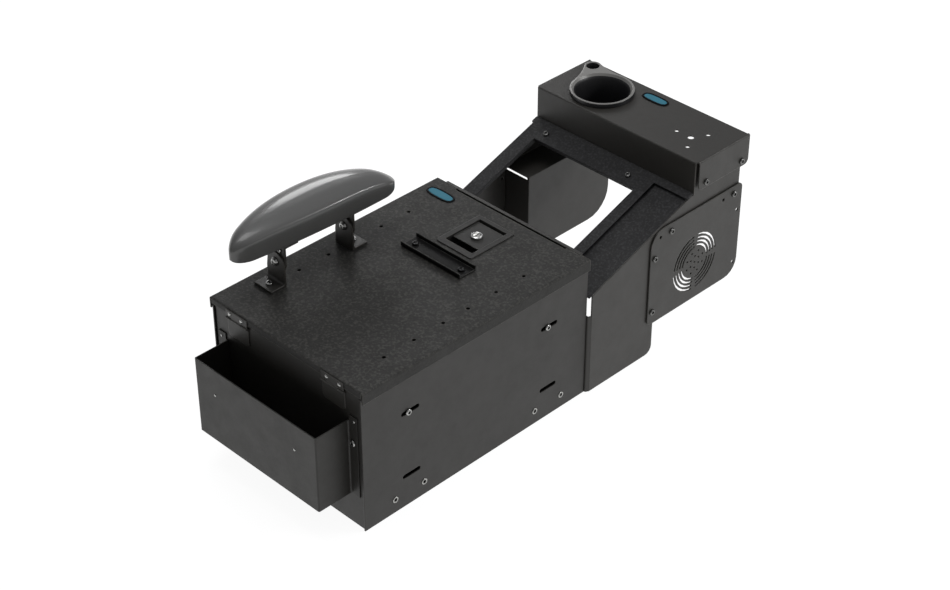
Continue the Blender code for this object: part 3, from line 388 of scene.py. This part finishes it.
def set_light():
    """A grey sky, brighter overhead and towards the object's front, and three soft boxes."""
    sky = bpy.data.worlds.new("studio")
    bpy.context.scene.world = sky
    sky.use_nodes = True
    tree = sky.node_tree
    background = tree.nodes["Background"]
    height = tree.nodes.new("ShaderNodeSeparateXYZ")
    where = tree.nodes.new("ShaderNodeTexCoord")
    ramp = tree.nodes.new("ShaderNodeValToRGB")
    tree.links.new(where.outputs["Generated"], height.inputs[0])
    tree.links.new(height.outputs["Z"], ramp.inputs["Fac"])
    below, above = ramp.color_ramp.elements
    below.color, above.color = (0.42, 0.42, 0.42, 1), (0.75, 0.75, 0.77, 1)
    level = ramp.color_ramp.elements.new(0.5)
    level.color = (0.45, 0.45, 0.46, 1)
    tree.links.new(ramp.outputs["Color"], background.inputs["Color"])
    fade = tree.nodes.new("ShaderNodeMapRange")
    fade.inputs["From Min"].default_value, fade.inputs["From Max"].default_value = -1.0, 1.0
    fade.inputs["To Min"].default_value, fade.inputs["To Max"].default_value = 0.40, 1.05
    tree.links.new(height.outputs["Y"], fade.inputs["Value"])
    tree.links.new(fade.outputs["Result"], background.inputs["Strength"])
    softbox("softbox_back_left", (-0.78, 0.54, 0.44), 2.6, (0.75, 0.55), 8.5)
    softbox("softbox_right", (0.72, 0.66, 0.62), 2.6, (1.0, 0.08), 21.0)
    softbox("softbox_top", (-0.2, -0.05, 1.0), 2.4, (1.2, 1.2), 15.0)
    bpy.context.scene.view_settings.view_transform = "Standard"


# ---------------------------------------------------------------- armrest pad


PAD_LOW_CORNER, PAD_HIGH_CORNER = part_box("armrest_pad")
PAD_MIDDLE = (PAD_LOW_CORNER.y + PAD_HIGH_CORNER.y) / 2
PAD_HALF = (PAD_HIGH_CORNER.y - PAD_LOW_CORNER.y) / 2 - 0.2 * MM
PAD_EDGES = ((-157.8, 35.6, 150.8), (-83.4, -7.5, 209.0))  # furthest reach, bow and where, left and right
PAD_UNDER = [(0.0, 0.0), (0.45, 0.0)]
PAD_WALL = [(0.80, 0.0), (0.92, 0.01), (0.965, 0.06), (0.985, 0.20), (0.997, 0.42), (0.995, 0.60),
            (0.975, 0.715)]
PAD_CROWN = [(0.935, 0.785), (0.86, 0.832), (0.74, 0.880), (0.55, 0.935), (0.30, 0.980), (0.0, 1.0)]
PAD_STATIONS = 44
TIP_START, TIP_POWER = 0.76, 2.6  # where the plan starts to round off towards a tip, and how squarely
REAR_DROP, FRONT_DROP = 0.27, 0.58  # how much lower the crown is at each tip
GIRTH = 0.40  # the share of the height towards which the section shrinks at the tips


def pad_edges(y):
    """The pad's left and right edges, in metres across, at y in the row frame."""
    along = (y - BOX_REAR.y) / MM
    half = PAD_HALF / MM
    return [BOX_REAR.x + (reach + bow * ((along - at) / half) ** 2) * MM for reach, bow, at in PAD_EDGES]


def spline(p, q, r, w, t):
    """Catmull-Rom: the value a share t of the way from q to r."""
    return 0.5 * (2 * q + (r - p) * t + (2 * p - 5 * q + 4 * r - w) * t ** 2
                  + (3 * q - p - 3 * r + w) * t ** 3)


def smooth_line(points, steps):
    """A Catmull-Rom curve through the points, with the ends repeated."""
    ends = [points[0]] + points + [points[-1]]
    curve = [points[0]]
    for before, start, end, after in zip(ends, ends[1:], ends[2:], ends[3:]):
        for i in range(1, steps + 1):
            curve.append(tuple(spline(*near, i / steps) for near in zip(before, start, end, after)))
    return curve


def pad_section():
    """(share of half the width, share of the height) from the underside's middle to the crown."""
    return PAD_UNDER + smooth_line(PAD_WALL + PAD_CROWN, 4)


def pad_ring(station, section):
    """One cross-section, at a station from -1 at the rear tip to 1 at the front tip."""
    y = PAD_MIDDLE + PAD_HALF * station
    left, right = pad_edges(y)
    past = max(0.0, (abs(station) - TIP_START) / 0.24)
    close = max(0.002, sqrt(max(0.0, 1 - past ** TIP_POWER)))
    drop = REAR_DROP if station < 0 else FRONT_DROP
    rise = (PAD_HIGH_CORNER.z - PAD_LOW_CORNER.z - 0.2 * MM) * (1 - drop * abs(station) ** 3.4)
    flatten = 0.35 + 0.65 * close
    half_ring = [(share * close, GIRTH + (height - GIRTH) * flatten) for share, height in section]
    points = half_ring + [(-share, height) for share, height in half_ring[-2:0:-1]]
    middle, half = (left + right) / 2, (right - left) / 2
    foot = PAD_LOW_CORNER.z + 0.1 * MM
    return [(middle + half * share, y, foot + rise * height) for share, height in points]


def make_pad():
    """A crowned crescent: flat below, a leaning side, a soft ridge and a dome above, lower at both ends."""
    bm = bmesh.new()
    stations = [sin(pi / 2 * i / PAD_STATIONS) for i in range(-PAD_STATIONS, PAD_STATIONS + 1)]
    section = pad_section()
    made = grid(bm, [pad_ring(station, section) for station in stations])
    for ring in (made[0], made[-1]):
        bm.faces.new(ring)
    pad = finished("armrest_cushion", bm, PAD, "armrest", 60.0)
    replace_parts(pad, "armrest_pad")


# ---------------------------------------------------------------- cup holder


CUP = Vector((-71.5, 661.5))
PEN = Vector((-125.0, 700.5))
CUP_LOW, CUP_RIM = 281.2, 288.0
COLLAR_BIG, COLLAR_SMALL, COLLAR_BOW = 46.4, 12.8, 1.8


def bowed(start, end, centre):
    """Nine points from start to end on an edge that bows towards centre, in the plane."""
    along = (end - start).normalized()
    inward = Vector((along.y, -along.x))
    if inward.dot(centre - start) < 0:
        inward.negate()
    return [tuple(start.lerp(end, i / 10) + inward * COLLAR_BOW * (4 * i / 10 * (1 - i / 10)))
            for i in range(1, 10)]


def teardrop(grow, steps=40):
    """The collar's outline: two circles joined by edges that bow inwards."""
    big, small = COLLAR_BIG + grow, COLLAR_SMALL + grow
    across = PEN - CUP
    aim, spread = atan2(across.y, across.x), acos((big - small) / across.length)
    open_big, open_small = spread - radians(16), spread + radians(24)
    arc = [aim + open_big + (2 * pi - 2 * open_big) * i / (2 * steps) for i in range(2 * steps + 1)]
    tip = [aim - open_small + 2 * open_small * i / steps for i in range(steps + 1)]
    around = [(CUP.x + big * cos(a), CUP.y + big * sin(a)) for a in arc]
    point = [(PEN.x + small * cos(a), PEN.y + small * sin(a)) for a in tip]
    centre = CUP + Vector((cos(aim), sin(aim))) * 30
    there = bowed(Vector(around[-1]), Vector(point[0]), centre)
    back = bowed(Vector(point[-1]), Vector(around[0]), centre)
    return around + there + point + back


def collar_ring(grow, height):
    return [world(x, y, height) for x, y in teardrop(grow)]


def helper(name, bm):
    """A plain object for carve(), which removes it again."""
    thing = bpy.data.objects.new(name, mesh_from(name, bm))
    bpy.context.scene.collection.objects.link(thing)
    return thing


def carve(target, cutters):
    """Cuts or adds each (object, operation) and returns the result as a mesh; no helper is left."""
    for cutter, operation in cutters:
        modifier = target.modifiers.new("carve", "BOOLEAN")
        modifier.operation = operation
        modifier.solver = "EXACT"
        modifier.object = cutter
    graph = bpy.context.evaluated_depsgraph_get()
    mesh = bpy.data.meshes.new_from_object(target.evaluated_get(graph))
    for thing in (target, *(cutter for cutter, _ in cutters)):
        bpy.data.objects.remove(thing)
    mesh.materials.clear()
    return mesh


def turned_helper(name, profile, centre):
    bm = bmesh.new()
    grid(bm, lathe(profile, 96))
    bmesh.ops.translate(bm, verts=bm.verts, vec=world(centre.x, centre.y, 0))
    return helper(name, bm)


def make_cup_holder():
    """The cup holder's moulding: a teardrop collar with rounded edges, a tapered cup and a pen tube."""
    bm = bmesh.new()
    edge = ((-3.0, CUP_LOW), (0.0, CUP_LOW), (0.0, CUP_RIM - 1.6), (-0.1, CUP_RIM - 0.7),
            (-0.3, CUP_RIM - 0.15), (-0.6, CUP_RIM))
    made = grid(bm, [collar_ring(grow, height) for grow, height in edge])
    bm.faces.new(made[0])
    bm.faces.new(made[-1])
    collar = helper("cup_holder_moulding", bm)
    above = CUP_RIM + 3
    outside = [(0, 214), (34, 214), (36.6, 214.9), (38.2, 217.2), (40.2, CUP_LOW + 2), (0, CUP_LOW + 2)]
    inside = [(0, 216.6), (30, 216.6), (33.8, 217.6), (35.6, 220.4), (37.2, 250), (38.3, CUP_LOW),
              (40.6, CUP_LOW + 3.6), (42.6, CUP_RIM - 1.0), (42.9, CUP_RIM - 0.35),
              (43.6, CUP_RIM + 0.2), (43.6, above), (0, above)]
    tube = [(0, 236), (11.2, 236), (11.2, CUP_LOW + 2), (0, CUP_LOW + 2)]
    bore = [(0, 230), (9.5, 230), (9.5, CUP_RIM - 1.0), (9.9, CUP_RIM - 0.35),
            (10.7, CUP_RIM + 0.2), (10.7, above), (0, above)]
    steps = (("cup_out", outside, CUP, "UNION"), ("pen_out", tube, PEN, "UNION"),
             ("cup_in", inside, CUP, "DIFFERENCE"), ("pen_in", bore, PEN, "DIFFERENCE"))
    cutters = [(turned_helper(name, profile, centre), operation) for name, profile, centre, operation in steps]
    mesh = carve(collar, cutters)
    mesh.name = "cup_holder_moulding"
    mesh.materials.append(SHADED_PLASTIC)
    mesh.materials.append(LIT_LIP)
    # Upward faces near the rim take the lighter copy as a painted highlight on the lip; the rest keeps the
    # darker copy as painted shade.
    for face in mesh.polygons:
        if face.center.z > world(0, 0, CUP_RIM - 2.2).z and face.normal.z > 0.2:
            face.material_index = 1
    piece = placed("cup_holder_moulding", mesh, "console", 32.0)
    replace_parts(piece, "cup_holder")


# ---------------------------------------------------------------- badges


def oval(half_x, half_y, count=72, power=2.9):
    """A superellipse about the origin."""
    points = []
    for i in range(count):
        turn = 2 * pi * i / count
        across, along = (copysign(abs(part) ** (2 / power), part) for part in (cos(turn), sin(turn)))
        points.append((half_x * across, half_y * along))
    return points


RIM_STEPS = [(0.0, 0.0), (0.0, 0.55), (0.35, 0.9), (0.95, 1.0), (2.7, 0.95), (2.9, 0.5), (2.9, 0.0)]
FIELD_STEPS = [(3.0, 0.0), (3.0, 0.42), (3.3, 0.6), (4.5, 0.68), (5.9, 0.72)]


def make_badge(stem, node, body, half_x, half_y):
    """A plain oval plate: a black raised rim round a dark blue field, with nothing on it."""
    low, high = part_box(node)
    centre = (low + high) / 2
    for part, steps, material in (("rim", RIM_STEPS, BADGE_RIM), ("field", FIELD_STEPS, BADGE_FIELD)):
        bm = bmesh.new()
        rings = []
        for inset, height in steps:
            outline = oval(half_x - inset, half_y - inset)
            rings.append([(centre.x + x * MM, centre.y + y * MM, low.z + height * MM) for x, y in outline])
        made = grid(bm, rings)
        if part == "field":
            bm.faces.new(made[-1])
            bm.faces.new(made[0])
        else:
            for i in range(len(made[0])):
                j = (i + 1) % len(made[0])
                bm.faces.new((made[-1][i], made[-1][j], made[0][j], made[0][i]))
        piece = finished(f"{stem}_badge_{part}", bm, material, body, 35.0)
        if part == "rim":
            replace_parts(piece, node)


# ---------------------------------------------------------------- fasteners


SIDES = (("left", -1), ("right", 1))
RECESS_SCREW_SEAT = -147.0
RECESS_SCREWS = ((698.3, 191.9), (565.5, 191.9), (532.9, 161.4), (532.9, 72.7))  # y and z
BOX_HALF = 140
RIVET_NUT_YS, RIVET_NUT_Z = (52.3, 103.1, 307.4, 358.2), 20.6
HINGE_RIVET_XS, HINGE_RIVET_Y, HINGE_RIVET_Z = (80.5, 103.5), -1.3, 213.6
BIN_RIVET_XS, BIN_RIVET_Z = {"left": -78.0, "right": 75.0}, 126.0
EAR_RIVET_X, EAR_RIVET_Y, EAR_RIVET_Z = 126.0, 0.2, 168.0


def make_fasteners():
    """Detailed heads in place of the CAD's screws, and the screws of the left recess."""
    head = screw_head_mesh("button_head", ZINC)
    dim = screw_head_mesh("dim_head", DIM_ZINC)
    black = screw_head_mesh("black_head", SHADED_STEEL)
    # The pull screws take the near-black heads as painted shade.
    heads = {"pull": black, "cap": dim, "vent": dim, "frame": dim}
    slope_up = Vector((0, -sin(SLOPE), cos(SLOPE)))
    jobs = [(f"{stem}_{side}_{i}", (sign, 0, 0), "console")
            for stem in ("cap_screw", "side_screw") for side, sign in SIDES for i in (1, 2)]
    jobs += [(f"vent_plate_screw_{i}", (1, 0, 0), "console") for i in (1, 2, 3, 4)]
    jobs += [(f"bin_screw_{side}", (0, -1, 0), "console") for side in ("left", "right")]
    jobs += [(f"frame_screw_{i}", slope_up, "console") for i in (1, 2)]
    jobs += [(f"pull_screw_{side}", (0, 0, 1), "lid") for side in ("left", "right")]
    jobs += [(f"armrest_foot_screw_{end}", (0, 0, 1), "lid") for end in ("rear", "front")]
    for i, (node, direction, body) in enumerate(jobs):
        screw_for(node, direction, heads.get(node.split("_")[0], head), body, spin=0.61 * i)
    for i, (y, z) in enumerate(RECESS_SCREWS):
        matrix = facing(world(RECESS_SCREW_SEAT, y, z), (-1, 0, 0), 0.4 * i)
        placed(f"left_recess_screw_{i + 1}", head, "console", 35.0, matrix)


def make_rivet_nuts():
    """Flanged rivet nuts along the foot of each box side, open through the middle."""
    profile = [(4.5, 0.1), (4.5, 0.55), (4.1, 0.95), (3.2, 1.0), (2.7, 0.6), (2.5, -0.6), (2.5, -4.0),
               (3.1, -4.0), (3.1, 0.1), (4.5, 0.1)]
    for side, sign in SIDES:
        for i, y in enumerate(RIVET_NUT_YS):
            place = world(sign * BOX_HALF, y, RIVET_NUT_Z)
            disc(f"rivet_nut_{side}_{i + 1}", place, (sign, 0, 0), profile, DULL_ZINC, "console")


def make_rivets():
    """Rivet heads: two on each hinge's upper leaf, two on the bin's face and one in each of its ears."""
    big = [(0, 0), (3.0, 0), (3.0, 0.35), (2.5, 1.0), (1.4, 1.45), (0, 1.55)]
    small = [(0, 0), (1.9, 0), (1.9, 0.25), (1.5, 0.7), (0.8, 0.95), (0, 1.0)]
    back = (0, -1, 0)
    for side, sign in SIDES:
        for i, x in enumerate(HINGE_RIVET_XS):
            place = world(sign * x, HINGE_RIVET_Y, HINGE_RIVET_Z)
            disc(f"hinge_rivet_{side}_{i + 1}", place, back, big, ZINC, "lid", 24)
        place = world(BIN_RIVET_XS[side], 0, BIN_RIVET_Z)
        place.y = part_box("rear_bin")[0].y
        disc(f"bin_rivet_{side}", place, back, small, ZINC, "console", 20)
        place = world(sign * EAR_RIVET_X, EAR_RIVET_Y, EAR_RIVET_Z)
        disc(f"bin_ear_rivet_{side}", place, back, small, ZINC, "console", 20)


def make_pivots():
    """Detailed heads for the armrest's pivot rivets and stop screws."""
    pivot = [(0, -12.6), (3.0, -12.6), (5.4, -9.0), (5.6, -8.0), (5.6, -6.8), (3.0, -6.8), (3.0, 0.3),
             (6.2, 0.3), (6.4, 0.7), (6.2, 1.3), (5.0, 2.2), (4.6, 3.2), (3.9, 3.7), (2.6, 3.8),
             (2.3, 2.6), (0, 2.5)]
    small = screw_head_mesh("stop_head", ZINC, 3.1, 1.9, 1.5, 1.0)
    for end in ("rear", "front"):
        low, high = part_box(f"armrest_pivot_bolt_{end}")
        centre = (low + high) / 2
        place = Vector((centre.x, low.y + 3.8 * MM, centre.z))
        piece = disc(f"armrest_pivot_{end}", place, (0, -1, 0), pivot, ZINC, "armrest", 36)
        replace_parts(piece, f"armrest_pivot_bolt_{end}")
        screw_for(f"armrest_stop_screw_{end}", (0, -1, 0), small, "armrest", 1.9, 0.3)


def make_key():
    """The lock's face: a turned ring, a domed plug and a key slot."""
    ring = [(6.4, 0), (8.3, 0), (8.4, 0.4), (8.3, 2.0), (7.7, 2.9), (6.9, 3.2), (6.3, 2.9), (6.1, 2.0),
            (6.1, 0), (6.4, 0)]
    place = world(0, 338.0, 220.1)
    outer = disc("key_ring", place, UP, ring, CHROME, "key", 48)
    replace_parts(outer, "key_plug")
    bm = bmesh.new()
    grid(bm, lathe([(0, -11.5), (5.9, -11.5), (5.9, 1.6), (5.5, 2.1), (4.4, 2.45), (0, 2.6)], 40))
    bmesh.ops.translate(bm, verts=bm.verts, vec=place)
    plug = helper("key_plug_face", bm)
    bm = bmesh.new()
    size = Matrix.Diagonal((1.5 * MM, 7.4 * MM, 4.0 * MM, 1))
    bmesh.ops.create_cube(bm, size=1.0, matrix=Matrix.Translation(place + Vector((0, 0, 2.0 * MM))) @ size)
    mesh = carve(plug, [(helper("key_slot", bm), "DIFFERENCE")])
    mesh.materials.append(DULL_ZINC)
    placed("key_plug_face", mesh, "key", 35.0)


# ---------------------------------------------------------------- run


def dress_nodes():
    """Gives every CAD node its finish."""
    finishes = {
        "lid_panel": LID_COAT, "slope_panel": SHADED_SLOPE_COAT, "equipment_frame": SHADED_SLOPE_COAT,
        "latch_bolt": DULL_ZINC, "bolt_guide": DULL_ZINC, "paddle_pin": DULL_ZINC,
        "hinge_pin_left": ZINC, "hinge_pin_right": ZINC, "rear_bin": BIN_COAT,
        "latch_body": LATCH_COAT, "latch_paddle": LATCH_COAT, "pull_channel": SHADED_CHANNEL_COAT,
    }
    for name, thing in NODES.items():
        finish = finishes.get(name, BOX_COAT if name.startswith("box_") else FINE_COAT)
        thing.data.materials.clear()
        thing.data.materials.append(finish)


set_stage()
set_light()
dress_nodes()
make_pad()
make_cup_holder()
make_badge("lid", "lid_badge", "lid", 24.5, 9.8)
make_badge("head", "head_badge", "console", 22.5, 9.3)
make_fasteners()
make_rivet_nuts()
make_rivets()
make_pivots()
make_key()
